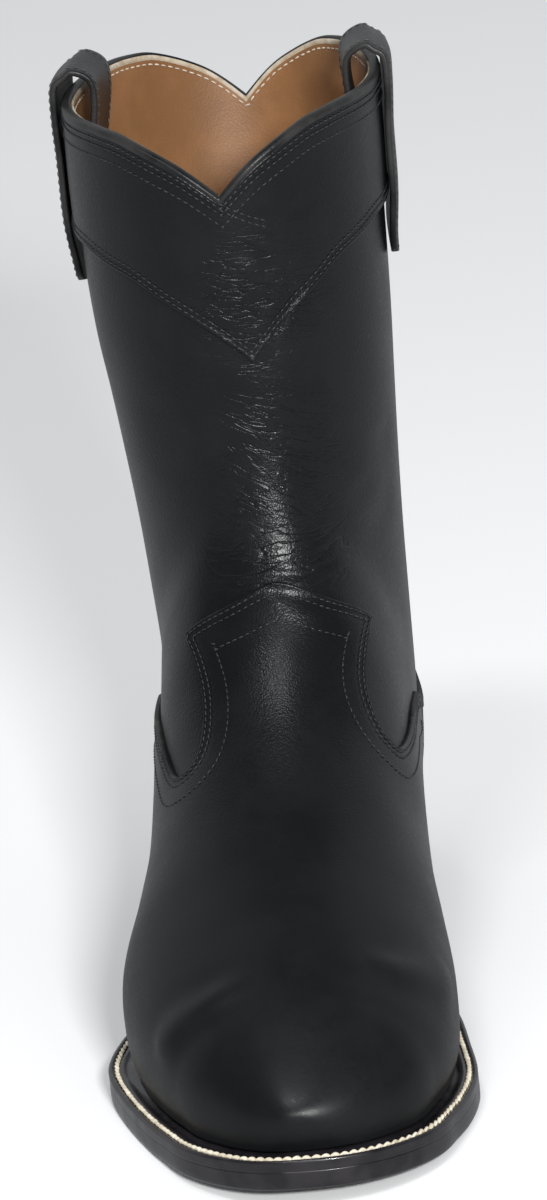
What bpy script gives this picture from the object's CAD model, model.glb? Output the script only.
"""Looks of the roper boot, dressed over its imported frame.

The boot is the right one of a pair: +Z up, the toe toward -Y, the medial side
toward +X, all sizes in metres. The last is a run of closed rings from the toe
to the collar. A place on it is a row of the section table and a turn round the
ring, 0 at the ridge of the instep and shin, positive to the medial side.
"""

import logging
import math
from dataclasses import dataclass, field
from enum import Enum
from typing import Callable, Optional, Sequence

import bpy
import numpy as np
from mathutils import Matrix, Vector
from mathutils.geometry import delaunay_2d_cdt


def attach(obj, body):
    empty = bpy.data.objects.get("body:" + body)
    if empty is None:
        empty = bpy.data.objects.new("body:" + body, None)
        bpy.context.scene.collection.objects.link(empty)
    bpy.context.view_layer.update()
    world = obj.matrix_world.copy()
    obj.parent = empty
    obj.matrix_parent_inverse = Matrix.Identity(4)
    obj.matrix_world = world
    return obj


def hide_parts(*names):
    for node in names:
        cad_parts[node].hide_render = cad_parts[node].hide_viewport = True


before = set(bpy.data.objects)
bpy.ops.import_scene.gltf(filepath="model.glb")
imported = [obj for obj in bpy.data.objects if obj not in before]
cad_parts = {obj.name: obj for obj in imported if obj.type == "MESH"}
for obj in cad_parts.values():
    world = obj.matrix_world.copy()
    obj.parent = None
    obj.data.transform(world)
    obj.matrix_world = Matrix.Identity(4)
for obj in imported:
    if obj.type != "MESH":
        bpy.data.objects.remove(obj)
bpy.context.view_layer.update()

log = logging.getLogger("roper_boot")
Array = np.ndarray

ROOT = "root"
MM = 0.001


class Slot(Enum):
    """Material slots of the record."""

    SHAFT = "shaft_leather"
    VAMP = "vamp_leather"
    STRAP = "strap_leather"
    LINING = "tan_lining"
    EDGE = "sole_edge"
    RUBBER = "heel_rubber"


class Face(Enum):
    """Sides of the boot that a fold is drawn on, with its two coordinates."""

    FRONT = "medial and up"
    TOP = "medial and along"


def smooth_step(t: Array) -> Array:
    """Ease from 0 to 1 with flat ends."""
    t = np.clip(t, 0.0, 1.0)
    return t * t * t * (t * (6.0 * t - 15.0) + 10.0)


def unit(vectors: Array) -> Array:
    """Scale vectors to length one along their last axis."""
    return vectors / np.maximum(np.linalg.norm(vectors, axis=-1, keepdims=True), 1e-12)


def spline(table: Array, at: Array) -> Array:
    """Read a smooth Catmull-Rom curve through a table's rows.

    Args:
        table: One row for each control place.
        at: Fractional row numbers.

    Returns:
        One interpolated row for each entry of at.
    """
    count = len(table)
    at = np.clip(np.asarray(at, float), 0.0, count - 1.0)
    first = np.minimum(at.astype(int), count - 2)
    part = (at - first)[:, None]
    wide = np.vstack([2 * table[0] - table[1], table, 2 * table[-1] - table[-2]])
    p0, p1, p2, p3 = wide[first], wide[first + 1], wide[first + 2], wide[first + 3]
    return 0.5 * (2 * p1 + (p2 - p0) * part + (2 * p0 - 5 * p1 + 4 * p2 - p3) * part ** 2
                  + (3 * p1 - p0 - 3 * p2 + p3) * part ** 3)


def run_length(points: Array) -> Array:
    """Distance travelled along a line of points, from its first."""
    steps = np.linalg.norm(np.diff(points, axis=0), axis=1)
    return np.concatenate([[0.0], np.cumsum(steps)])


def inside(points: Array, loop: Array) -> Array:
    """Tell which flat points lie inside a closed flat loop, by counting crossings."""
    x, y = points[:, 0][:, None], points[:, 1][:, None]
    x0, y0 = loop[:, 0][None, :], loop[:, 1][None, :]
    x1, y1 = np.roll(loop[:, 0], -1)[None, :], np.roll(loop[:, 1], -1)[None, :]
    crosses = (y0 > y) != (y1 > y)
    span = np.where(y1 == y0, 1.0, y1 - y0)
    hit = crosses & (x < (x1 - x0) * (y - y0) / span + x0)
    return hit.sum(1) % 2 == 1


def grid_faces(rows: int, cols: int, wrap: bool = False) -> Array:
    """Quads of a grid of vertices counted row by row.

    Args:
        rows: Number of grid rows.
        cols: Number of grid columns.
        wrap: Join the last column to the first.

    Returns:
        Array of four vertex numbers for each quad.
    """
    i, j = np.meshgrid(np.arange(rows - 1), np.arange(cols if wrap else cols - 1), indexing="ij")
    right = (j + 1) % cols
    return np.stack([i * cols + j, i * cols + right, (i + 1) * cols + right, (i + 1) * cols + j],
                    -1).reshape(-1, 4)


@dataclass(frozen=True)
class Fold:
    """One soft fold or crease placed by hand on a side of the boot.

    The path is in millimetres in the side's own coordinates. The lift is
    height times a bell of the distance to the path, and the flanks of a
    narrow crease rise a little, as pushed leather does.
    """

    face: Face
    path: tuple[tuple[float, float], ...]
    width: float
    height: float
    flank: float = 0.35


@dataclass
class Last:
    """The boot's form, from a table of sections and a few named sizes."""

    length: float = 0.303
    ball: float = 0.102
    instep: float = 0.170
    shaft: float = 0.276
    collar_dip: float = 0.0205
    heel_height: float = 0.025
    toe_spring: float = 0.005
    wall: float = 0.0021
    overlay: float = 0.0012
    seat_gap: float = 0.00045
    gap: float = 0.0003
    outsole: float = 0.0055
    welt: float = 0.0035
    keel_drop: float = 0.0090
    back_reach: float = 0.0036
    nose_round: float = 2.05
    map_growth: float = 0.5
    toe_tip: tuple[float, float] = (0.982, 0.145)
    band_point: float = 4.0
    folds: list[Fold] = field(default_factory=list)
    # ridge along, up, keel along, up, med, lat, lean, side, crown, keel
    sections: tuple = (
        (0.885, 0.272, 0.885, None, 0.425, 0.262, 0.066, 0.58, 2.30, 2.60),
        (0.830, 0.316, 0.830, None, 0.470, 0.342, 0.058, 0.60, 2.30, 3.00),
        (0.760, 0.362, 0.760, None, 0.492, 0.420, 0.046, 0.62, 2.25, 3.40),
        (0.680, 0.420, 0.680, None, 0.485, 0.466, 0.038, 0.63, 2.10, 3.40),
        (0.600, 0.497, 0.590, None, 0.454, 0.442, 0.040, 0.63, 2.00, 3.10),
        (0.530, 0.588, 0.500, None, 0.420, 0.412, 0.044, 0.63, 1.95, 2.75),
        (0.480, 0.684, 0.400, None, 0.400, 0.396, 0.045, 0.62, 1.95, 2.55),
        (0.450, 0.774, 0.280, None, 0.388, 0.391, 0.042, 0.60, 2.00, 2.70),
        (0.433, 0.852, 0.140, None, 0.383, 0.390, 0.038, 0.58, 2.05, 2.85),
        (0.424, 0.920, 0.030, 0.160, 0.380, 0.392, 0.034, 0.56, 2.05, 2.60),
        (0.419, 0.980, -0.002, 0.340, 0.386, 0.404, 0.028, 0.53, 2.05, 2.25),
        (0.417, 1.040, 0.008, 0.560, 0.395, 0.414, 0.022, 0.51, 2.05, 2.20),
        (0.418, 1.100, 0.022, 0.780, 0.408, 0.430, 0.018, 0.50, 2.05, 2.15),
        (0.420, 1.160, 0.026, 0.960, 0.420, 0.448, 0.014, 0.50, 2.05, 2.10),
        (0.424, 1.240, 0.020, 1.140, 0.432, 0.472, 0.010, 0.50, 2.05, 2.05),
        (0.431, 1.370, 0.006, 1.330, 0.441, 0.487, 0.006, 0.50, 2.00, 2.00),
        (0.440, 1.500, -0.006, 1.490, 0.448, 0.488, 0.004, 0.50, 2.00, 2.00),
        (0.448, 1.640, -0.014, 1.640, 0.456, 0.480, 0.004, 0.50, 2.00, 2.00),
        (0.456, 1.780, -0.022, 1.780, 0.464, 0.476, 0.004, 0.50, 2.00, 2.00),
    )
    # turn from the ridge in degrees, share of the dip
    collar: tuple = ((0, 1.00), (7, 0.72), (14, 0.49), (25, 0.25), (36, 0.06), (50, 0.00), (90, 0.04))
    # turn from the band's point in degrees, share of the shaft's height
    band_edge: tuple = ((0, 0.731), (9, 0.761), (19, 0.786), (40, 0.829), (65, 0.850), (90, 0.853))

    def __post_init__(self) -> None:
        """Turn the section table into metres."""
        self.stack = self.outsole + self.welt + 2 * self.gap
        self.mid_along = (self.length - self.back_reach) / 2
        self.top_row = len(self.sections) - 1.0
        rows = []
        for ra, ru, ka, ku, med, lat, lean, side, crown, keel in self.sections:
            low = float(self.feather(ka * self.length)) - self.keel_drop
            up = low if ku is None else ku * self.instep
            rows.append([ra * self.length, ru * self.instep, ka * self.length, up, med * self.ball,
                         lat * self.ball, lean * self.ball, side, crown, keel])
        self.rows = np.array(rows)

    def sole_under(self, along: Array) -> Array:
        """Height of the outsole's underside: seat, waist, flat tread and toe spring."""
        share = np.asarray(along, float) / self.length
        waist = self.heel_height * (1.0 - smooth_step((share - 0.25) / 0.35))
        tip = np.clip((share - 0.74) / 0.26, 0.0, None)
        return waist + self.toe_spring * tip * tip

    def feather(self, along: Array) -> Array:
        """Height of the feather edge, where the upper meets the welt."""
        return self.sole_under(along) + self.stack

    def section_at(self, row: Array) -> Array:
        """Section values at fractional rows; rows from -1 to 0 close the nose as an ellipse."""
        row = np.asarray(row, float)
        out = spline(self.rows, np.maximum(row, 0.0))
        nose = row < 0.0
        if nose.any():
            angle = (1.0 + row[nose]) * math.pi / 2
            first = self.rows[0]
            slope = (self.rows[1] - first) / (self.rows[1, 0] - first[0])
            tip_along, tip_up = self.toe_tip[0] * self.length, self.toe_tip[1] * self.instep
            power = 2 / self.nose_round
            along = first[0] + (tip_along - first[0]) * np.cos(angle) ** power
            full = first + slope * (along - first[0])[:, None]
            wide = np.sin(angle) ** power
            near = full.copy()
            near[:, 0] = near[:, 2] = along
            near[:, 1] = tip_up + (full[:, 1] - tip_up) * wide
            near[:, 3] = tip_up + (self.feather(along) - self.keel_drop - tip_up) * wide
            near[:, 4] = first[6] + (full[:, 4] - first[6]) * wide
            near[:, 5] = -first[6] + (full[:, 5] + first[6]) * wide
            near[:, 6:] = first[6:]
            out[nose] = near
        return out

    def raw_point(self, row: Array, turn: Array) -> Array:
        """Points of the form as medial, along and up, by a super-ellipse for each ring."""
        ra, rh, ka, kh, med, lat, lean, side, crown, keel = self.section_at(row).T
        cos, sin = np.cos(turn), np.sin(turn)
        bow = np.abs(cos) ** (2 / np.where(cos >= 0, crown, keel))
        down = np.where(cos >= 0, side - side * bow, side + (1 - side) * bow)
        reach = np.where(sin >= 0, med - lean, -(lat + lean))
        out = lean + reach * np.abs(sin) ** (2 / np.where(cos >= 0, crown, keel))
        return np.stack([out, ra + (ka - ra) * down, rh + (kh - rh) * down], -1)

    def normals(self, row: Array, turn: Array) -> Array:
        """Outward normals, from differences along the rows and round the ring."""
        step = 0.03
        low, high = np.maximum(row - step, -0.995), np.minimum(row + step, self.top_row)
        round_ = self.raw_point(row, turn + step) - self.raw_point(row, turn - step)
        climb = self.raw_point(high, turn) - self.raw_point(low, turn)
        return unit(np.cross(climb, round_))

    def lift(self, base: Array, turn: Array) -> Array:
        """Height of all folds over the bare form, summed.

        Args:
            base: Points of the bare form.
            turn: Their turns round the ring.

        Returns:
            Distance to move each point along its normal.
        """
        facing = np.cos(turn)
        flat = {Face.FRONT: base[:, [0, 2]], Face.TOP: base[:, [0, 1]]}
        total = np.zeros(len(base))
        for fold in self.folds:
            places = flat[fold.face]
            path = np.array(fold.path, float) * MM
            line = spline(path, np.linspace(0, len(path) - 1, 40)) if len(path) > 2 else (
                path[0] + (path[1] - path[0]) * np.linspace(0, 1, 40)[:, None])
            reach = 3.2 * fold.width * MM
            low, high = line.min(0) - reach, line.max(0) + reach
            close = np.flatnonzero(((places > low) & (places < high)).all(1) & (facing > 0.05))
            if not len(close):
                continue
            gap = np.linalg.norm(places[close][:, None, :] - line[None], axis=2)
            nearest, away = gap.argmin(1), gap.min(1) / (fold.width * MM)
            share = nearest / (len(line) - 1.0)
            taper = np.clip(np.minimum(share, 1 - share) / 0.30, 0.0, 1.0)
            bell = np.exp(-away ** 2) - fold.flank * np.exp(-((away - 1.7) / 0.8) ** 2)
            total[close] += (fold.height * MM * bell * (0.12 + 0.88 * smooth_step(taper))
                             * smooth_step((facing[close] - 0.05) / 0.35))
        return total

    def skin(self, row: Array, turn: Array, offset: Array = 0.0) -> Array:
        """World points at a distance out from the folded form, along its normal."""
        row, turn, offset = np.broadcast_arrays(np.asarray(row, float), np.asarray(turn, float),
                                                np.asarray(offset, float))
        shape = row.shape
        row, turn, offset = row.ravel(), turn.ravel(), offset.ravel()
        base = self.raw_point(row, turn)
        out = base + (offset + self.lift(base, turn))[:, None] * self.normals(row, turn)
        return self.world(out).reshape(shape + (3,))

    def plain_skin(self, row: Array, turn: Array, offset: float = 0.0) -> Array:
        """Points at a distance from the bare form, as medial, along and up."""
        base = self.raw_point(row, turn)
        return base + offset * self.normals(row, turn) if offset else base

    def world(self, points: Array) -> Array:
        """Medial, along and up to world places."""
        return np.stack([points[..., 0], self.mid_along - points[..., 1], points[..., 2]], -1)

    def plane(self, row: Array, turn: Array) -> Array:
        """Flat map of the form: the nose at the middle, rows as widening rings round it."""
        row = np.asarray(row, float)
        radius = np.where(row < 0.0, row + 1.0, np.exp(self.map_growth * np.maximum(row, 0.0)))
        return np.stack([radius * np.sin(turn), radius * np.cos(turn)], -1)

    def from_plane(self, flat: Array) -> tuple[Array, Array]:
        """Rows and turns of places on the flat map."""
        radius = np.hypot(flat[:, 0], flat[:, 1])
        row = np.where(radius < 1.0, radius - 1.0, np.log(np.maximum(radius, 1.0)) / self.map_growth)
        return np.minimum(row, self.top_row), np.arctan2(flat[:, 0], flat[:, 1])

    def flat_points(self, flat: Array) -> Array:
        """Bare form points of flat places."""
        return self.raw_point(*self.from_plane(flat))

    def shift(self, flat: Array, move: Array) -> Array:
        """Move flat places so that their points on the form step by short vectors.

        The step on the map is the least squares answer of the map's two slopes.
        """
        small = 1e-3 * np.maximum(np.hypot(flat[:, 0], flat[:, 1]), 0.3)[:, None]
        here = self.flat_points(flat)
        one = (self.flat_points(flat + small * [1.0, 0.0]) - here) / small
        two = (self.flat_points(flat + small * [0.0, 1.0]) - here) / small
        a, b, c = (one * one).sum(1), (one * two).sum(1), (two * two).sum(1)
        p, q = (one * move).sum(1), (two * move).sum(1)
        det = np.maximum(a * c - b * b, 1e-24)
        return flat + np.stack([(c * p - b * q) / det, (a * q - b * p) / det], -1)

    def inset(self, loop: Array, distance: float, closed: bool = True) -> Array:
        """Line parallel to a flat line, a distance to its left as seen from outside.

        Points that come closer to the first line than the distance, at its
        inner corners, are dropped.
        """
        here = self.flat_points(loop)
        row, turn = self.from_plane(loop)
        ahead = np.roll(here, -1, 0) - np.roll(here, 1, 0)
        if not closed:
            ahead[0], ahead[-1] = here[1] - here[0], here[-1] - here[-2]
        across = unit(np.cross(self.normals(row, turn), ahead))
        moved = self.shift(loop, across * distance)
        there = self.flat_points(moved)
        gap = np.linalg.norm(there[:, None, :] - here[None, :, :], axis=2).min(1)
        return moved[gap > 0.93 * abs(distance)]

    def even(self, flat: Array, step: float, closed: bool = False) -> Array:
        """Resample a flat line to an even step in space."""
        if closed:
            flat = np.vstack([flat, flat[:1]])
        run = run_length(self.flat_points(flat))
        at = np.linspace(0.0, run[-1], max(2, int(round(run[-1] / step)) + 1))
        out = np.stack([np.interp(at, run, flat[:, 0]), np.interp(at, run, flat[:, 1])], -1)
        return out[:-1] if closed else out

    def path(self, rows: Sequence[float], degrees: Sequence[float]) -> Array:
        """Fine flat line through listed rows and turns."""
        table = np.stack([np.asarray(rows, float), np.radians(degrees)], -1)
        fine = spline(table, np.linspace(0.0, len(table) - 1.0, 60 * (len(table) - 1) + 1))
        return self.plane(fine[:, 0], fine[:, 1])

    def row_at(self, height: Array, turn: Array) -> Array:
        """Rows of the shaft where it reaches a height at each turn, by halving."""
        low, high = np.full(len(turn), 7.5), np.full(len(turn), self.top_row)
        for _ in range(30):
            mid = (low + high) / 2
            below = self.raw_point(mid, turn)[:, 2] < height
            low, high = np.where(below, mid, low), np.where(below, high, mid)
        return (low + high) / 2

    def mirrored(self, table: tuple, turn: Array) -> Array:
        """Read a table of degrees and values, mirrored front to back.

        A bell of a few degrees rounds the table's corners. The mirrored end at
        90 degrees stays level and the point at 0 stays sharp.
        """
        values = np.array(table, float)
        angle = np.degrees(np.abs(turn)) % 360.0
        angle = np.where(angle > 180.0, 360.0 - angle, angle)
        angle = np.where(angle > 90.0, 180.0 - angle, angle)
        fine = np.interp(np.arange(0.0, 91.0), values[:, 0], values[:, 1])
        span = 7
        wide = np.concatenate([2 * fine[0] - fine[span:0:-1], fine, fine[-2:-span - 2:-1]])
        bell = np.hanning(2 * span + 3)[1:-1]
        soft = np.convolve(wide, bell / bell.sum(), "valid")
        return np.interp(angle, np.arange(0.0, 91.0), soft)

    def collar_height(self, turn: Array) -> Array:
        """Height of the collar's edge."""
        return self.shaft - self.collar_dip * self.mirrored(self.collar, turn)

    def band_height(self, turn: Array) -> Array:
        """Height of the collar band's lower edge."""
        return self.shaft * self.mirrored(self.band_edge, turn - math.radians(self.band_point))

    def ring(self, height_of: Callable, step: float, turn_shift: float = 0.0,
             drop: float = 0.0) -> Array:
        """Closed flat loop round the shaft that keeps its two points sharp."""
        parts = []
        for start in (turn_shift, math.pi + turn_shift):
            turn = start + np.linspace(0.0, math.pi, 361)
            row = self.row_at(height_of(turn) - drop, turn)
            parts.append(self.even(self.plane(row, turn), step)[:-1])
        return np.concatenate(parts)

    def feather_loop(self, offset: float) -> tuple[Array, Array]:
        """Closed loop of rows and turns along the feather edge: medial, then lateral."""
        probe = np.linspace(-0.97, 11.0, 1200)
        keel = self.plain_skin(probe, np.full(len(probe), math.pi), offset)
        under = keel[:, 2] < self.feather(keel[:, 1])
        start, end = probe[under][0], probe[under][-1]
        rows = start + (end - start) * (1 - np.cos(np.linspace(0, math.pi, 240))) / 2
        rows[0] += 1e-4
        rows[-1] -= 1e-4
        found = []
        for sign in (1.0, -1.0):
            low, high = np.full(len(rows), math.pi / 2), np.full(len(rows), math.pi)
            for _ in range(30):
                mid = (low + high) / 2
                point = self.plain_skin(rows, sign * mid, offset)
                above = point[:, 2] > self.feather(point[:, 1])
                low, high = np.where(above, mid, low), np.where(above, high, mid)
            found.append(sign * (low + high) / 2)
        return np.concatenate([rows, rows[::-1]]), np.concatenate([found[0], found[1][::-1]])


def add_piece(name: str, verts: Array, faces: Sequence, material: bpy.types.Material,
              stands_for: Sequence[str] = (), marks: Optional[dict[str, Array]] = None) -> bpy.types.Object:
    """Make one piece of the boot that rides on its body.

    Args:
        name: Plain name of the piece.
        verts: World points.
        faces: Lists or arrays of vertex numbers.
        material: Its finish.
        stands_for: CAD nodes that the piece replaces.
        marks: Float attributes for each vertex, read by the materials.

    Returns:
        The new object.
    """
    mesh = bpy.data.meshes.new(name)
    lists = [face for block in faces for face in (block.tolist() if isinstance(block, np.ndarray) else block)]
    mesh.from_pydata(verts.tolist(), [], lists)
    mesh.update()
    mesh.polygons.foreach_set("use_smooth", np.full(len(mesh.polygons), True))
    for mark, values in (marks or {}).items():
        layer = mesh.attributes.new(mark, "FLOAT", "POINT")
        layer.data.foreach_set("value", np.asarray(values, np.float32))
    mesh.materials.append(material)
    item = bpy.data.objects.new(name, mesh)
    bpy.context.scene.collection.objects.link(item)
    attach(item, ROOT)
    if stands_for:
        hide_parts(*stands_for)
    log.info("%s: %d vertices, %d faces", name, len(mesh.vertices), len(mesh.polygons))
    return item


@dataclass
class SkinSheet:
    """A leather sheet on the form, cut to flat loops, with a rounded edge.

    Its outer face stands at high, its inner face at low. Near the edge the
    outer face comes down to the inner one in a quarter round, and stitch
    channels are pressed along it.
    """

    last: Last
    low: float
    high: float
    spacing: float = 0.0022
    edge_round: float = 0.0009
    rings: tuple[float, ...] = (0.25, 0.6, 1.0, 1.5, 2.1, 2.8, 3.6, 4.6, 5.8)
    channels: tuple[float, ...] = ()
    channel_depth: float = 0.00022
    channel_width: float = 0.0007
    bead: float = 0.0
    # first row, last row, half width in degrees, step
    fine_patch: Optional[tuple[float, float, float, float]] = None
    # rough sizes that turn a spacing into grid steps: rise of a row, girth, radius of the shaft
    row_rise: float = 0.0215
    girth: float = 0.33
    shaft_radius: float = 0.048

    def places(self) -> tuple[Array, Array]:
        """Rows and turns of the sheet's inner grid, thinner toward the nose, closer in the fine patch."""
        rows, turns = [], []
        levels = np.concatenate([np.linspace(-0.93, -0.08, 13),
                                 np.arange(0.0, self.last.top_row, self.spacing / self.row_rise)])
        for level, row in enumerate(levels):
            count = int(np.clip((row + 1.0) ** 0.7, 0.0, 1.0) * self.girth / self.spacing) + 8
            start = (level % 2) * math.pi / count
            turns.append(np.linspace(-math.pi, math.pi, count, endpoint=False) + start)
            rows.append(np.full(count, row))
        row, turn = np.concatenate(rows), np.concatenate(turns)
        if self.fine_patch:
            low, high, half, step = self.fine_patch
            away = (row < low) | (row > high) | (np.abs(turn) > math.radians(half))
            row_step = step / self.row_rise
            more_rows = np.arange(low + row_step / 2, high, row_step)
            more_turns = np.arange(-half, half, math.degrees(step / self.shaft_radius))
            i, j = np.meshgrid(more_rows, np.radians(more_turns), indexing="ij")
            row, turn = np.append(row[away], i.ravel()), np.append(turn[away], j.ravel())
        return row, turn

    def profile(self, away: Array) -> Array:
        """Distance out from the form at a distance from the sheet's edge."""
        share = np.clip(away / self.edge_round, 0.0, 1.0)
        rise = self.low + (self.high - self.low) * np.sqrt(1.0 - (1.0 - share) ** 2)
        rise += self.bead * np.exp(-((away - 0.0009) / 0.0009) ** 2) * share
        for channel in self.channels:
            rise -= self.channel_depth * np.exp(-((away - channel) / self.channel_width) ** 2)
        return rise

    def cut(self, outer: Array, holes: Sequence[Array] = ()) -> tuple[Array, list, dict]:
        """Triangulate the sheet inside its loops and raise its two faces.

        Args:
            outer: Flat loop of the outer edge.
            holes: Flat loops of the inner edges.

        Returns:
            World points, blocks of faces, and the distance of each vertex
            from the edge as the attribute rim.
        """
        last = self.last
        loops = [outer, *holes]
        rim = np.concatenate(loops)
        rim_space = last.flat_points(rim)

        def distance(flat: Array) -> Array:
            """Distance of flat places from the rim, in blocks to save memory."""
            space = last.flat_points(flat)
            parts = np.array_split(space, max(1, len(space) // 4000))
            return np.concatenate([np.linalg.norm(part[:, None, :] - rim_space[None], axis=2).min(1)
                                   for part in parts])

        def within(flat: Array) -> Array:
            """Which flat places the sheet covers."""
            keep = inside(flat, outer)
            for hole in holes:
                keep &= ~inside(flat, hole)
            return keep

        points = [rim]
        for ring in self.rings:
            for loop in loops:
                for sign in (1.0, -1.0):
                    line = last.inset(loop, sign * ring * MM)
                    if len(line):
                        line = line[within(line)]
                    if len(line):
                        points.append(line[distance(line) > 0.9 * ring * MM])
        rows, turns = self.places()
        flat = last.plane(rows, turns)
        flat = flat[within(flat)]
        reach = self.rings[-1] * MM if self.rings else 0.0
        points.append(flat[distance(flat) > reach + 0.45 * self.spacing])
        edges, base = [], 0
        for loop in loops:
            count = len(loop)
            edges += [(base + i, base + (i + 1) % count) for i in range(count)]
            base += count
        cloud = np.concatenate(points)
        found = delaunay_2d_cdt([tuple(p) for p in cloud.tolist()], edges, [], 0, 1e-7)
        flat = np.array([tuple(v) for v in found[0]])
        triangles = np.array(found[2])
        triangles = triangles[within(flat[triangles].mean(1))]
        used = np.unique(triangles)
        renumber = np.full(len(flat), -1)
        renumber[used] = np.arange(len(used))
        triangles, flat = renumber[triangles], flat[used]
        count = len(flat)
        away = distance(flat)
        pairs = np.concatenate([triangles[:, [0, 1]], triangles[:, [1, 2]], triangles[:, [2, 0]]])
        code = np.sort(pairs, 1) @ np.array([count + 1, 1])
        values, times = np.unique(code, return_counts=True)
        border = np.unique(pairs[np.isin(code, values[times == 1])])
        away[border] = 0.0
        row, turn = last.from_plane(flat)
        top = last.skin(row, turn, self.profile(away))
        under = last.skin(row, turn, self.low)
        below = np.arange(count) + count
        below[border] = border
        verts = np.concatenate([top, under])
        faces = np.concatenate([triangles, below[triangles][:, ::-1]])
        used = np.unique(faces)
        renumber = np.full(len(verts), -1)
        renumber[used] = np.arange(len(used))
        marks = np.concatenate([away, away])[used] / MM
        return verts[used], [renumber[faces]], {"rim": marks}


@dataclass
class StitchRow:
    """Thread stitches along a line: rounded beads that dip into the leather at both ends."""

    pitch: float = 0.0022
    length: float = 0.0017
    width: float = 0.00050
    height: float = 0.00036
    slant: float = 0.0
    twist: float = 0.0
    arch: float = 0.75
    sides: int = 6
    steps: int = 6
    seed: int = 3

    def beads(self, spots: Array, ahead: Array, up: Array) -> tuple[Array, Array]:
        """Beads at places with their directions.

        A bead's radius follows the root of a circle along its length, and a
        twisted cord's is waved round it with two strands.

        Args:
            spots: Middle of each bead on the leather.
            ahead: Direction of the row at each.
            up: Outward normal at each.

        Returns:
            Points and quads of all beads.
        """
        rng = np.random.default_rng(self.seed)
        count = len(spots)
        ahead, up = unit(ahead), unit(up)
        across = unit(np.cross(up, ahead))
        lean = self.slant + 0.05 * rng.standard_normal(count)
        ahead, across = (ahead * np.cos(lean)[:, None] + across * np.sin(lean)[:, None],
                         across * np.cos(lean)[:, None] - ahead * np.sin(lean)[:, None])
        u = (1 - np.cos(np.linspace(0.0, math.pi, self.steps))) / 2
        v = np.linspace(0.0, 2 * math.pi, self.sides, endpoint=False)
        radius = np.maximum(np.sqrt(np.clip(1 - (2 * u - 1) ** 2, 0, 1)) ** 0.75, 0.12)
        wave = 1.0 + (0.22 * np.cos(2 * v[None, :] + self.twist * u[:, None]) if self.twist else 0.0)
        size = (radius[:, None] * wave)[None] * (1 + 0.08 * rng.standard_normal(count))[:, None, None]
        arch = (self.arch * (1 - (2 * u - 1) ** 2) - 0.47 * self.arch)[None, :, None, None]
        verts = (spots[:, None, None, :]
                 + ahead[:, None, None, :] * ((u - 0.5) * self.length)[None, :, None, None]
                 + across[:, None, None, :] * (self.width / 2 * size * np.cos(v))[..., None]
                 + up[:, None, None, :] * (self.height / 2 * size * np.sin(v))[..., None]
                 + up[:, None, None, :] * arch * self.height)
        one = grid_faces(self.steps, self.sides, wrap=True)
        each = self.steps * self.sides
        faces = (one[None] + (np.arange(count) * each)[:, None, None]).reshape(-1, 4)
        caps = np.stack([np.arange(self.sides)[::-1], np.arange(self.sides) + each - self.sides])
        lids = (caps[None] + (np.arange(count) * each)[:, None, None]).reshape(-1, self.sides)
        return verts.reshape(-1, 3), [faces, lids]

    def along(self, last: Last, line: Array, offset: float) -> tuple[Array, list]:
        """Stitches along a flat line on the form, at a distance out from it."""
        line = last.even(line, self.pitch)
        row, turn = last.from_plane(line)
        space = last.skin(row, turn, offset)
        normal = last.normals(row, turn) * [1.0, -1.0, 1.0]
        return self.beads(space, np.gradient(space, axis=0), normal)


def join(parts: Sequence[tuple[Array, list]]) -> tuple[Array, list]:
    """Join meshes given as points and blocks of faces."""
    verts, blocks, base = [], [], 0
    for points, faces in parts:
        verts.append(points)
        blocks += [block + base for block in faces]
        base += len(points)
    return np.concatenate(verts), blocks


class Nodes:
    """Short way to fill a node tree."""

    def __init__(self, tree: bpy.types.NodeTree) -> None:
        """Keep the tree that the nodes go into."""
        self.tree = tree

    def add(self, kind: str, settings: Optional[dict] = None, **inputs: object) -> bpy.types.Node:
        """Add a node, set its properties and wire or set its inputs.

        Args:
            kind: Blender's name of the node type.
            settings: Properties of the node.
            **inputs: Values or output sockets, by socket name with _ for a space,
                or by number as in_0.

        Returns:
            The new node.
        """
        node = self.tree.nodes.new(kind)
        for key, value in (settings or {}).items():
            setattr(node, key, value)
        for key, value in inputs.items():
            by_number = key.startswith("in_")
            socket = node.inputs[int(key[3:]) if by_number else key.replace("_", " ")]
            if isinstance(value, bpy.types.NodeSocket):
                self.tree.links.new(value, socket)
            else:
                socket.default_value = value
        return node

    def maths(self, operation: str, first: object, second: object = 0.0) -> bpy.types.NodeSocket:
        """One step of arithmetic on two values."""
        return self.add("ShaderNodeMath", {"operation": operation}, in_0=first, in_1=second).outputs[0]

    def ramp(self, value: object, low: float, high: float, to_low: float = 0.0,
             to_high: float = 1.0) -> bpy.types.NodeSocket:
        """Smooth step of a value between two limits."""
        return self.add("ShaderNodeMapRange", {"interpolation_type": "SMOOTHSTEP"}, Value=value,
                        From_Min=low, From_Max=high, To_Min=to_low, To_Max=to_high).outputs[0]

    def colour(self, factor: object, first: object, second: object) -> bpy.types.NodeSocket:
        """Mix of two colours."""
        node = self.add("ShaderNodeMix", {"data_type": "RGBA"})
        for socket, value in ((node.inputs[0], factor), (node.inputs[6], first), (node.inputs[7], second)):
            if isinstance(value, bpy.types.NodeSocket):
                self.tree.links.new(value, socket)
            else:
                socket.default_value = value
        return node.outputs[2]


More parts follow.
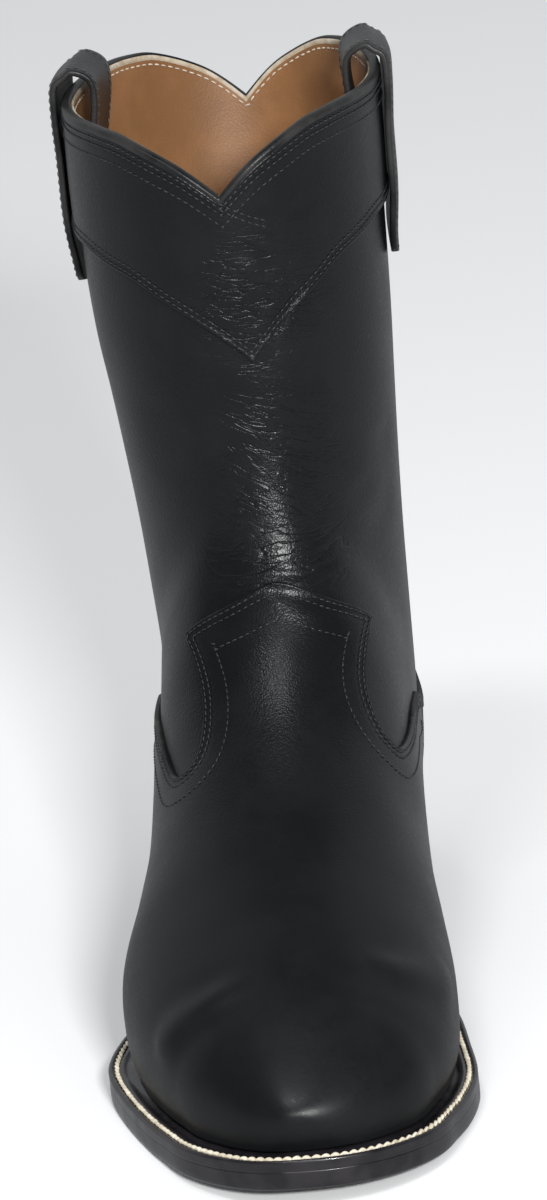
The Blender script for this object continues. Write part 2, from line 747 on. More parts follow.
def shader_group(name: str, inputs: dict[str, object], outputs: Sequence[str],
                 fill: Callable[[Nodes, dict, dict], None]) -> bpy.types.NodeTree:
    """Make a node group with named sockets.

    Args:
        name: Its name.
        inputs: Names with default numbers, or None for a vector.
        outputs: Names of number outputs.
        fill: Function that wires the group between its two ends.

    Returns:
        The group, made once.
    """
    group = bpy.data.node_groups.new(name, "ShaderNodeTree")
    for key, value in inputs.items():
        kind = "NodeSocketVector" if value is None else "NodeSocketFloat"
        socket = group.interface.new_socket(name=key, in_out="INPUT", socket_type=kind)
        if value is not None:
            socket.default_value = value
    for key in outputs:
        group.interface.new_socket(name=key, in_out="OUTPUT", socket_type="NodeSocketFloat")
    nodes = Nodes(group)
    start, end = nodes.add("NodeGroupInput"), nodes.add("NodeGroupOutput")
    fill(nodes, {key: start.outputs[key] for key in inputs}, {key: end.inputs[key] for key in outputs})
    return group


class Effects:
    """Shared shader effects, each built once."""

    def __init__(self) -> None:
        """Build the groups."""
        self.grain = shader_group("pebble_grain", {"Place": None, "Cell": 0.0009, "Softness": 0.5},
                                  ["Height", "Speck"], self.fill_grain)
        self.wrinkle = shader_group("fine_wrinkles", {"Place": None, "Fineness": 120.0, "Sharp": 0.05},
                                    ["Height"], self.fill_wrinkle)
        self.handling = shader_group("handling", {"Place": None, "Rim": 10.0, "Edge Width": 0.8},
                                     ["Cloud", "Edge"], self.fill_handling)

    @staticmethod
    def fill_grain(nodes: Nodes, given: dict, out: dict) -> None:
        """Pebbles are smooth cells; their height fades into a finer noise."""
        scale = nodes.maths("DIVIDE", 1.0, given["Cell"])
        cells = nodes.add("ShaderNodeTexVoronoi", {"feature": "SMOOTH_F1"}, Vector=given["Place"],
                          Scale=scale, Smoothness=given["Softness"])
        fine = nodes.add("ShaderNodeTexNoise", Vector=given["Place"],
                         Scale=nodes.maths("MULTIPLY", scale, 0.45), Detail=3.0, Roughness=0.6)
        dome = nodes.maths("SUBTRACT", 1.0, cells.outputs["Distance"])
        height = nodes.maths("ADD", nodes.maths("MULTIPLY", dome, 0.7),
                             nodes.maths("MULTIPLY", fine.outputs["Fac"], 0.6))
        nodes.tree.links.new(height, out["Height"])
        speck = nodes.ramp(fine.outputs["Fac"], 0.50, 0.68)
        nodes.tree.links.new(speck, out["Speck"])

    @staticmethod
    def fill_wrinkle(nodes: Nodes, given: dict, out: dict) -> None:
        """Creases are where a stretched noise crosses its middle value."""
        noise = nodes.add("ShaderNodeTexNoise", Vector=given["Place"], Scale=given["Fineness"],
                          Detail=2.0, Roughness=0.45, Distortion=0.5)
        away = nodes.maths("ABSOLUTE", nodes.maths("SUBTRACT", noise.outputs["Fac"], 0.5))
        step = nodes.add("ShaderNodeMapRange", {"interpolation_type": "SMOOTHSTEP"}, Value=away,
                         From_Min=0.0, From_Max=given["Sharp"], To_Min=0.0, To_Max=1.0)
        nodes.tree.links.new(step.outputs[0], out["Height"])

    @staticmethod
    def fill_handling(nodes: Nodes, given: dict, out: dict) -> None:
        """Clouds of handling, and an edge rubbed by distance from the rim."""
        cloud = nodes.add("ShaderNodeTexNoise", Vector=given["Place"], Scale=38.0, Detail=4.0, Roughness=0.6)
        nodes.tree.links.new(cloud.outputs["Fac"], out["Cloud"])
        rub = nodes.maths("SUBTRACT", 1.0, nodes.maths("DIVIDE", given["Rim"], given["Edge Width"]))
        rub = nodes.maths("MULTIPLY", nodes.ramp(rub, 0.0, 1.0),
                          nodes.ramp(cloud.outputs["Fac"], 0.35, 0.62))
        nodes.tree.links.new(rub, out["Edge"])


Colour = tuple[float, float, float]


def new_material(name: str) -> tuple[bpy.types.Material, Nodes, bpy.types.Node, bpy.types.NodeSocket]:
    """Make a material and give its node helper, its shader and object coordinates."""
    material = bpy.data.materials.new(name)
    material.use_nodes = True
    nodes = Nodes(material.node_tree)
    shader = material.node_tree.nodes["Principled BSDF"]
    place = nodes.add("ShaderNodeTexCoord").outputs["Object"]
    return material, nodes, shader, place


@dataclass(frozen=True)
class WrinkleField:
    """A patch of fine wrinkles: where it lies, how it runs and how deep it is."""

    centre: tuple[float, float, float]
    size: tuple[float, float, float]
    lean: float
    stretch: float = 5.0
    fineness: float = 110.0
    depth: float = 0.00035
    sharp: float = 0.05


@dataclass(frozen=True)
class LeatherFinish:
    """Dyed leather with a pebble grain, fine wrinkles and rubbed edges."""

    name: str
    base: Colour
    rubbed: Colour
    rough: float = 0.33
    rough_spread: float = 0.06
    specular: float = 0.26
    cell: float = 0.00060
    grain_depth: float = 0.00011
    speck_gain: float = 0.06
    # grain and roughness where the toe was polished: share of the grain, added roughness
    toe_calm: tuple[float, float] = (1.0, 0.0)
    # world Y where that starts to fade and where it ends
    toe_fade: tuple[float, float] = (-0.085, -0.015)
    wrinkles: tuple[WrinkleField, ...] = ()

    def build(self, effects: Effects) -> bpy.types.Material:
        """Wire the finish.

        Args:
            effects: The shared node groups.

        Returns:
            The material.
        """
        material, nodes, shader, place = new_material(self.name)
        rim = nodes.add("ShaderNodeAttribute", {"attribute_name": "rim"}).outputs["Fac"]
        hand = nodes.add("ShaderNodeGroup", {"node_tree": effects.handling}, Place=place, Rim=rim)
        grain = nodes.add("ShaderNodeGroup", {"node_tree": effects.grain}, Place=place, Cell=self.cell)
        cloudy = nodes.colour(nodes.ramp(hand.outputs["Cloud"], 0.35, 0.70), (*self.base, 1.0),
                              (*[c * 1.35 for c in self.base], 1.0))
        worn = nodes.maths("MULTIPLY", hand.outputs["Edge"], 0.8)
        colour = nodes.colour(worn, cloudy, (*self.rubbed, 1.0))
        nodes.tree.links.new(colour, shader.inputs["Base Color"])
        rough = nodes.ramp(hand.outputs["Cloud"], 0.30, 0.72, self.rough - self.rough_spread / 2,
                           self.rough + self.rough_spread / 2)
        shine = nodes.maths("MULTIPLY", grain.outputs["Speck"], self.speck_gain)
        rough = nodes.maths("SUBTRACT", rough, shine)
        height = grain.outputs["Height"]
        grain_share, added_rough = self.toe_calm
        if grain_share < 1.0:
            along = nodes.add("ShaderNodeSeparateXYZ", Vector=place).outputs["Y"]
            height = nodes.maths("MULTIPLY", height, nodes.ramp(along, *self.toe_fade, grain_share, 1.0))
            rough = nodes.maths("ADD", rough, nodes.ramp(along, *self.toe_fade, added_rough, 0.0))
        nodes.tree.links.new(rough, shader.inputs["Roughness"])
        normal = nodes.add("ShaderNodeBump", Height=height, Distance=self.grain_depth,
                           Strength=1.0).outputs[0]
        for patch in self.wrinkles:
            normal = self.wrinkled(nodes, effects, place, patch, normal)
        nodes.tree.links.new(normal, shader.inputs["Normal"])
        shader.inputs["Specular IOR Level"].default_value = self.specular
        return material

    @staticmethod
    def wrinkled(nodes: Nodes, effects: Effects, place: bpy.types.NodeSocket, patch: WrinkleField,
                 normal: bpy.types.NodeSocket) -> bpy.types.NodeSocket:
        """Add one patch of wrinkles to the normal, faded out from its centre as an ellipsoid."""
        reach = nodes.add("ShaderNodeMapping", {"vector_type": "TEXTURE"}, Vector=place,
                          Location=patch.centre, Scale=patch.size).outputs[0]
        far = nodes.add("ShaderNodeVectorMath", {"operation": "LENGTH"}, in_0=reach).outputs["Value"]
        mask = nodes.ramp(far, 1.0, 0.35)
        turned = nodes.add("ShaderNodeMapping", {"vector_type": "TEXTURE"}, Vector=place,
                           Rotation=(0.0, patch.lean, 0.0),
                           Scale=(patch.stretch, patch.stretch, 1.0)).outputs[0]
        crease = nodes.add("ShaderNodeGroup", {"node_tree": effects.wrinkle}, Place=turned,
                           Fineness=patch.fineness, Sharp=patch.sharp).outputs["Height"]
        height = nodes.maths("MULTIPLY", nodes.maths("SUBTRACT", crease, 1.0), mask)
        return nodes.add("ShaderNodeBump", Height=height, Distance=patch.depth, Normal=normal).outputs[0]


@dataclass(frozen=True)
class PlainFinish:
    """Thread, cut edge, dressed sole edge or rubber: a colour that drifts, with a soft bump."""

    name: str
    base: Colour
    second: Colour
    rough: float = 0.5
    specular: float = 0.4
    patch: float = 300.0
    bump_scale: float = 900.0
    bump_depth: float = 0.00008
    coat: float = 0.0
    stretch: tuple[float, float, float] = (1.0, 1.0, 1.0)

    def build(self) -> bpy.types.Material:
        """Wire the finish and give the material."""
        material, nodes, shader, place = new_material(self.name)
        drift = nodes.add("ShaderNodeTexNoise", Vector=place, Scale=self.patch, Detail=3.0).outputs["Fac"]
        colour = nodes.colour(nodes.ramp(drift, 0.32, 0.68), (*self.base, 1.0), (*self.second, 1.0))
        nodes.tree.links.new(colour, shader.inputs["Base Color"])
        nodes.tree.links.new(nodes.ramp(drift, 0.3, 0.7, self.rough - 0.07, self.rough + 0.07),
                             shader.inputs["Roughness"])
        pulled = nodes.add("ShaderNodeMapping", {"vector_type": "TEXTURE"}, Vector=place,
                           Scale=self.stretch).outputs[0]
        fine = nodes.add("ShaderNodeTexNoise", Vector=pulled, Scale=self.bump_scale, Detail=3.0)
        bump = nodes.add("ShaderNodeBump", Height=fine.outputs["Fac"], Distance=self.bump_depth)
        nodes.tree.links.new(bump.outputs[0], shader.inputs["Normal"])
        shader.inputs["Specular IOR Level"].default_value = self.specular
        shader.inputs["Coat Weight"].default_value = self.coat
        return material


class Finishes:
    """Every finish of the boot."""

    def __init__(self) -> None:
        """Build the materials."""
        effects = Effects()
        black, rubbed = (0.0052, 0.0058, 0.0064), (0.030, 0.029, 0.028)
        shaft_wrinkles = (
            WrinkleField((0.010, 0.015, 0.220), (0.034, 0.050, 0.032), 0.10, 4.0, 430.0, 0.00012),
            WrinkleField((0.012, 0.015, 0.168), (0.034, 0.050, 0.040), 0.42, 4.5, 380.0, 0.00012),
            WrinkleField((0.012, 0.010, 0.140), (0.040, 0.050, 0.016), -0.06, 6.0, 260.0, 0.00022),
        )
        self.shaft = LeatherFinish("black_shaft_leather", black, rubbed,
                                   wrinkles=shaft_wrinkles).build(effects)
        self.strap_thread = PlainFinish("grey_strap_thread", (0.10, 0.10, 0.105),
                                        (0.05, 0.05, 0.052)).build()
        self.vamp = LeatherFinish("black_vamp_leather", black, rubbed, grain_depth=0.00010,
                                  toe_calm=(0.16, 0.07)).build(effects)
        self.strap = LeatherFinish("black_strap_leather", black, rubbed, rough=0.38, cell=0.0007,
                                   grain_depth=0.00007).build(effects)
        self.lining = LeatherFinish("tan_lining_leather", (0.195, 0.093, 0.038), (0.24, 0.128, 0.058),
                                    rough=0.50, specular=0.35, cell=0.0007,
                                    grain_depth=0.00007).build(effects)
        self.cut_edge = PlainFinish("cream_cut_edge", (0.52, 0.46, 0.37), (0.36, 0.28, 0.19), rough=0.8,
                                    patch=260.0, bump_depth=0.00015).build()
        self.thread = PlainFinish("black_thread", (0.016, 0.016, 0.017), (0.03, 0.03, 0.032),
                                  rough=0.42).build()
        self.pale_thread = PlainFinish("pale_thread", (0.62, 0.56, 0.46), (0.48, 0.42, 0.34),
                                       rough=0.6).build()
        self.cord = PlainFinish("cream_cord", (0.70, 0.64, 0.52), (0.50, 0.44, 0.33), rough=0.75,
                                patch=220.0, bump_scale=1600.0, bump_depth=0.00012).build()
        self.edge = PlainFinish("black_dressed_edge", (0.009, 0.0085, 0.0095), (0.018, 0.016, 0.019),
                                rough=0.30, patch=120.0, bump_scale=300.0, bump_depth=0.00010, coat=0.25,
                                stretch=(3.0, 3.0, 1.0)).build()
        self.rubber = PlainFinish("black_heel_rubber", (0.014, 0.014, 0.0145), (0.024, 0.024, 0.025),
                                  rough=0.7, bump_scale=700.0, bump_depth=0.00012).build()


@dataclass
class Overlays:
    """Vamp, heel counter and collar band, each a sheet over the upper."""

    last: Last
    finishes: Finishes
    # lat turn, row, med turn, row, from the crown's peak
    crown: tuple = ((0.0, 7.20, 0.0, 7.20), (19.5, 7.00, 24.5, 7.10), (42.0, 7.14, 49.0, 7.48))
    scallop: tuple = ((42.0, 7.14, 49.0, 7.48), (37.5, 6.50, 43.5, 6.60), (34.0, 5.80, 41.5, 6.02),
                      (34.2, 5.20, 44.5, 5.66), (38.5, 4.94, 50.5, 5.54), (48.0, 5.12, 61.0, 5.76),
                      (58.0, 5.78, 76.0, 6.66), (72.0, 6.95, 85.0, 7.58), (85.0, 8.20, 92.0, 8.30))
    seam_foot: tuple[float, float] = (129.0, 7.30)
    counter_top: tuple = ((85.0, 8.20), (99.0, 8.90), (118.0, 9.60), (148.0, 10.68), (167.0, 11.02),
                          (180.0, 11.08))
    step: float = 0.0011
    sole_step: float = 0.0015
    # rows of thread, in millimetres from the edge that each follows
    rows: tuple[float, ...] = (1.7, 3.5)
    inner_row: float = 9.2
    band_rows: tuple[float, ...] = (1.8, 3.6)
    collar_rows: tuple[float, ...] = (3.2, 5.2, 9.0)
    # rows that run on past the collar's V: millimetres below it, reach in degrees, share of its slope
    crossing_rows: tuple[float, ...] = (1.6, 3.6)
    crossing_reach: float = 15.0
    crossing_slope: float = 0.65
    # height that a row gains for each millimetre in from the band's sloping edge
    slope_gain: float = 1.15
    collar_tuck: float = 0.0012
    # height of a row's thread over the leather
    edge_lift: float = 0.00002
    inner_lift: float = 0.00005
    collar_lift: float = 0.00004

    def half_edge(self, sign: float) -> Array:
        """Vamp edge from the crown's peak to the side seam's top."""
        turn_col, row_col = (2, 3) if sign > 0 else (0, 1)
        parts = []
        for table in (self.crown, self.scallop):
            rows = [line[row_col] for line in table]
            turns = [sign * line[turn_col] for line in table]
            parts.append(self.last.even(self.last.path(rows, turns), self.step)[:-1])
        return np.concatenate(parts)

    def feather_side(self, sign: float) -> tuple[Array, Array]:
        """Rows and turns of the feather edge on one side, in order of the rows."""
        rows, turns = self.last.feather_loop(self.last.seat_gap + self.last.overlay)
        half = len(rows) // 2
        side = slice(0, half) if sign > 0 else slice(half, None)
        order = np.argsort(rows[side])
        return rows[side][order], turns[side][order]

    def vamp_loop(self) -> Array:
        """Flat loop of the vamp: scalloped edge, side seams and feather edge."""
        halves = []
        for sign in (1.0, -1.0):
            rows, turns = self.feather_side(sign)
            foot = float(np.interp(self.seam_foot[1], rows, np.abs(turns)))
            top_turn, top_row = self.scallop[-1][2:] if sign > 0 else self.scallop[-1][:2]
            seam = self.last.path([top_row, self.seam_foot[1]], [sign * top_turn, sign * math.degrees(foot)])
            fore = rows < self.seam_foot[1]
            sole = self.last.plane(np.append(self.seam_foot[1], rows[fore][::-1]),
                                   np.append(sign * foot, turns[fore][::-1]))
            halves.append(np.concatenate([self.half_edge(sign), self.last.even(seam, self.step)[:-1],
                                          self.last.even(sole, self.sole_step)]))
        medial, lateral = halves
        return np.concatenate([medial, lateral[:0:-1]])

    def counter_loop(self) -> tuple[Array, Array]:
        """Flat loop of the counter, and its top edge as an open line."""
        halves, tops = [], []
        back_off = math.radians(0.5)
        for sign in (1.0, -1.0):
            rows, turns = self.feather_side(sign)
            foot_row = self.seam_foot[1] + 0.04
            foot = float(np.interp(foot_row, rows, np.abs(turns)))
            top_turn, top_row = self.scallop[-1][2:] if sign > 0 else self.scallop[-1][:2]
            edge = np.array(self.counter_top, float)
            blend = np.linspace(1.0, 0.0, len(edge)) ** 3
            edge_turn = edge[:, 0] + blend * (top_turn - edge[0, 0]) + math.degrees(back_off) * blend
            edge_row = edge[:, 1] + blend * (top_row - edge[0, 1])
            top = self.last.even(self.last.path(edge_row[::-1], sign * edge_turn[::-1]), self.step)
            seam = self.last.path([top_row, foot_row], [sign * (top_turn + math.degrees(back_off)),
                                                        sign * math.degrees(foot)])
            rear = rows > foot_row
            sole = self.last.plane(np.append(foot_row, rows[rear]), np.append(sign * foot, turns[rear]))
            halves.append(np.concatenate([top[:-1], self.last.even(seam, self.step)[:-1],
                                          self.last.even(sole, self.sole_step)]))
            tops.append(top)
        medial, lateral = halves
        return (np.concatenate([medial, lateral[:0:-1]]),
                np.concatenate([tops[1][::-1], tops[0][1:]]))

    def sewn(self, line: Array, loop: Array, distance: float, row: StitchRow,
             lift: float) -> tuple[Array, list]:
        """Stitches parallel to an edge, on the side that the sheet covers."""
        best = None
        for sign in (1.0, -1.0):
            moved = self.last.inset(line, sign * distance * MM, closed=False)
            share = inside(moved, loop).mean() if len(moved) else 0.0
            if best is None or share > best[0]:
                best = (share, moved)
        kept = best[1][inside(best[1], loop)]
        return row.along(self.last, kept, self.last.seat_gap + self.last.overlay + lift)

    def build(self) -> None:
        """Build the three sheets and their stitching."""
        last, finishes = self.last, self.finishes
        low, high = 0.00005, last.seat_gap + last.overlay
        row = StitchRow()
        loop = self.vamp_loop()
        edge = np.concatenate([self.half_edge(-1.0)[:0:-1], self.half_edge(1.0)])
        sheet = SkinSheet(last, low, high, channels=tuple(d * MM for d in self.rows), bead=0.00025)
        self.dress("vamp", sheet, loop, (), finishes.vamp)
        rows = [self.sewn(edge, loop, d, row, self.edge_lift) for d in self.rows]
        rows.append(self.sewn(edge, loop, self.inner_row, row, self.inner_lift))
        verts, faces = join(rows)
        add_piece("vamp_stitching", verts, faces, finishes.thread)

        loop, top = self.counter_loop()
        self.dress("counter", sheet, loop, (), finishes.vamp)
        verts, faces = join([self.sewn(top, loop, d, row, self.edge_lift) for d in self.rows])
        add_piece("counter_stitching", verts, faces, finishes.thread)

        shift = math.radians(last.band_point)
        upper_edge = last.ring(last.collar_height, self.step, drop=self.collar_tuck)
        lower_edge = last.ring(last.band_height, self.step, turn_shift=shift)
        band_sheet = SkinSheet(last, low, high, channels=sheet.channels, bead=0.00025,
                               fine_patch=(13.6, 16.6, 34.0, 0.0012))
        self.dress("collar_band", band_sheet, upper_edge, [lower_edge], finishes.shaft)
        rows = []
        for rise in self.band_rows:
            line = last.ring(lambda turn: last.band_height(turn) + rise * MM * self.slope_gain, self.step,
                             turn_shift=shift)
            rows.append(row.along(last, np.vstack([line, line[:1]]), high + self.edge_lift))
        for drop in self.collar_rows:
            line = last.ring(lambda turn: last.collar_height(turn) - drop * MM, self.step)
            rows.append(row.along(last, np.vstack([line, line[:1]]), high + self.collar_lift))
        turn = np.radians(np.linspace(0.5, self.crossing_reach, 40))
        point, edge = last.collar_height(np.zeros(1)), last.collar_height(-turn)
        for drop in self.crossing_rows:
            height = point - self.crossing_slope * (edge - point) - drop * MM
            line = last.plane(last.row_at(height, turn), turn)
            rows.append(row.along(last, line, high + self.collar_lift))
        verts, faces = join(rows)
        add_piece("collar_band_stitching", verts, faces, finishes.thread)

    def dress(self, name: str, sheet: SkinSheet, loop: Array, holes: Sequence[Array],
              finish: bpy.types.Material) -> None:
        """Cut a sheet and put it in the place of its CAD node."""
        verts, faces, marks = sheet.cut(loop, holes)
        add_piece(name + "_leather", verts, faces, finish, [name], marks)


@dataclass
class Shaft:
    """The upper's leather wall, its tan lining and the collar's edge."""

    last: Last
    finishes: Finishes
    # out from the form and up from the collar's edge, in millimetres
    fold_profile: tuple = ((1.45, -2.6), (1.76, -1.7), (1.82, -0.8), (1.62, -0.15), (1.15, 0.22),
                           (0.40, 0.36), (-0.60, 0.34), (-1.15, 0.10), (-1.42, -0.40), (-1.42, -2.6))
    edge_profile: tuple = ((-1.40, -2.4), (-1.40, -0.62), (-1.52, -0.46), (-1.75, -0.42), (-2.02, -0.52),
                           (-2.20, -0.80), (-2.24, -1.7), (-2.12, -2.0), (-2.0, -2.4))
    lining_row: float = 0.0034
    foot_step: float = 0.0025
    rim_step: float = 0.0016
    rim_tuck: float = 0.0010
    # shares of the wall: how deep the leather's inner face and the lining's outer face lie
    leather_share: float = 0.42
    lining_share: float = 0.46

    def rim_tube(self, profile: tuple) -> tuple[Array, list]:
        """A profile carried round the collar: its columns are distance out and height."""
        last = self.last
        turn = np.linspace(0.0, 2 * math.pi, 720, endpoint=False)
        rings = []
        for out, up in profile:
            row = last.row_at(last.collar_height(turn) + up * MM, turn)
            rings.append(last.skin(row, turn, out * MM))
        points = np.stack(rings, 1)
        count, width = points.shape[:2]
        i, j = np.meshgrid(np.arange(count), np.arange(width), indexing="ij")
        ahead, side = (i + 1) % count, (j + 1) % width
        faces = np.stack([i * width + j, i * width + side, ahead * width + side, ahead * width + j], -1)
        return points.reshape(-1, 3), [faces.reshape(-1, 4)]

    def build(self) -> None:
        """Build the wall, lining and collar edge."""
        last, finishes = self.last, self.finishes
        rows, turns = last.feather_loop(0.0)
        foot = last.even(last.plane(rows, turns), self.foot_step, closed=True)
        top = last.ring(lambda turn: last.collar_height(turn) - self.rim_tuck, self.rim_step)
        wall = SkinSheet(last, -self.leather_share * last.wall, 0.0, rings=(0.9,), edge_round=0.0001,
                         fine_patch=(7.0, 8.9, 52.0, 0.0011))
        verts, faces, marks = wall.cut(top, [foot])
        add_piece("shaft_leather", verts, faces, finishes.shaft, ["upper"], marks)
        inner = SkinSheet(last, -last.wall, -self.lining_share * last.wall, spacing=0.0032, rings=(0.9,),
                          edge_round=0.0001)
        verts, faces, marks = inner.cut(top, [foot])
        add_piece("tan_lining", verts, faces, finishes.lining, marks=marks)
        verts, faces = self.rim_tube(self.fold_profile)
        add_piece("collar_fold", verts, faces, finishes.strap)
        verts, faces = self.rim_tube(self.edge_profile)
        add_piece("lining_cut_edge", verts, faces, finishes.cut_edge)
        line = last.ring(lambda turn: last.collar_height(turn) - self.lining_row, self.rim_step)
        row = StitchRow(pitch=0.0028, length=0.0020, width=0.00055, height=-0.0004)
        verts, faces = row.along(last, np.vstack([line, line[:1]]), -last.wall - 0.00004)
        add_piece("lining_stitching", verts, faces, finishes.pale_thread)


@dataclass
class PullStrap:
    """A leather loop over the collar's side, sewn down outside and in."""

    last: Last
    finishes: Finishes
    name: str
    sign: float
    width: float = 0.030
    thick: float = 0.0026
    drop: float = 0.060
    inner: float = 0.045
    rise: float = 0.0080
    centre: float = 97.0
    samples: int = 150
    # ends: length of their rounding, share of the width at the very end
    end_round: float = 0.013
    end_width: float = 0.30
    # radius of the shaft's side as a share of the boot's length
    radius_share: float = 0.225
    # thread: share of the half width, distance from the ends, pitch and height
    row_share: float = 0.80
    row_end: float = 0.006
    row_pitch: float = 0.0026
    row_height: float = 0.00026

    def route(self) -> Array:
        """Strap's middle line as distance out from the form and height."""
        last = self.last
        top, band = last.shaft, last.shaft * last.band_edge[-1][1]
        out = last.seat_gap * 2 + last.overlay + self.thick / 2
        into = -last.wall - last.seat_gap - self.thick / 2
        path = np.array([
            (out - last.overlay + 0.0002, top - self.drop),
            (out - last.overlay + 0.0004, top - self.drop + 0.008),
            (out + 0.0002, band + 0.002), (out + 0.0002, top - 0.020), (out + 0.0008, top - 0.006),
            (out + 0.0004, top + 0.0035), (out - 0.0028, top + self.rise * 0.80),
            ((out + into) / 2 - 0.0020, top + self.rise), (into - 0.0036, top + self.rise * 0.62),
            (into - 0.0046, top - 0.002), (into - 0.0030, top - 0.014), (into - 0.0006, top - 0.028),
            (into, top - self.inner + 0.006), (into, top - self.inner)])
        fine = spline(path, np.linspace(0.0, len(path) - 1.0, 400))
        run = run_length(fine)
        at = np.linspace(0.0, run[-1], self.samples)
        return np.stack([np.interp(at, run, fine[:, 0]), np.interp(at, run, fine[:, 1])], -1)

    def places(self, across: Array, push: Array) -> Array:
        """World points of the strap.

        Args:
            across: Share of the half width, a row for each station of the route.
            push: Share of the thickness out from the middle line, the same shape.

        Returns:
            One point for each entry.
        """
        last, route = self.last, self.route()
        ahead = unit(np.gradient(route, axis=0))
        side = np.stack([ahead[:, 1], -ahead[:, 0]], -1)
        run = run_length(route)
        end = np.minimum(run, run[-1] - run)
        bend = np.sqrt(1 - (1 - np.clip(end / self.end_round, 0.0, 1.0)) ** 2)
        narrow = self.end_width + (1 - self.end_width) * bend
        turn = self.sign * (math.radians(self.centre) + across * narrow[:, None] * self.width / 2
                            / (last.length * self.radius_share))
        spot = route[:, None, :] + side[:, None, :] * (self.thick * push)[..., None]
        height, depth = spot[..., 1].ravel(), spot[..., 0].ravel()
        flat_turn = turn.ravel()
        row = last.row_at(height, flat_turn)
        base = last.raw_point(row, flat_turn)
        normal = last.normals(row, flat_turn)
        normal[:, 2] = 0.0
        point = base + unit(normal) * depth[:, None]
        point[:, 2] = height
        return last.world(point).reshape(turn.shape + (3,))

    def build(self) -> None:
        """Build the strap as a rounded band and sew its edges."""
        angle = np.linspace(0.0, 2 * math.pi, 56, endpoint=False)
        cos, sin = np.cos(angle), np.sin(angle)
        across = np.sign(cos) * np.abs(cos) ** 0.30
        push = 0.5 * np.sign(sin) * np.abs(sin) ** 0.45
        shape = (self.samples, len(angle))
        points = self.places(np.broadcast_to(across, shape), np.broadcast_to(push, shape))
        quads = grid_faces(self.samples, len(angle), wrap=True)
        caps = [list(range(len(angle)))[::-1],
                list(range((self.samples - 1) * len(angle), self.samples * len(angle)))]
        if self.sign > 0:
            quads, caps = quads[:, ::-1], [cap[::-1] for cap in caps]
        add_piece(self.name + "_leather", points.reshape(-1, 3), [quads, caps], self.finishes.strap,
                  [self.name])
        rows = []
        for edge in (-self.row_share, self.row_share):
            line = self.places(np.full((self.samples, 1), edge), np.full((self.samples, 1), 0.50))[:, 0]
            over = self.places(np.full((self.samples, 1), edge), np.full((self.samples, 1), 0.90))[:, 0]
            run = run_length(line)
            at = np.arange(self.row_end, run[-1] - self.row_end, self.row_pitch)
            spots = np.stack([np.interp(at, run, line[:, k]) for k in range(3)], -1)
            up = np.stack([np.interp(at, run, (over - line)[:, k]) for k in range(3)], -1)
            row = StitchRow(height=self.row_height)
            rows.append(row.beads(spots, np.gradient(spots, axis=0), up))
        verts, faces = join(rows)
        add_piece(self.name + "_stitching", verts, faces, self.finishes.strap_thread)


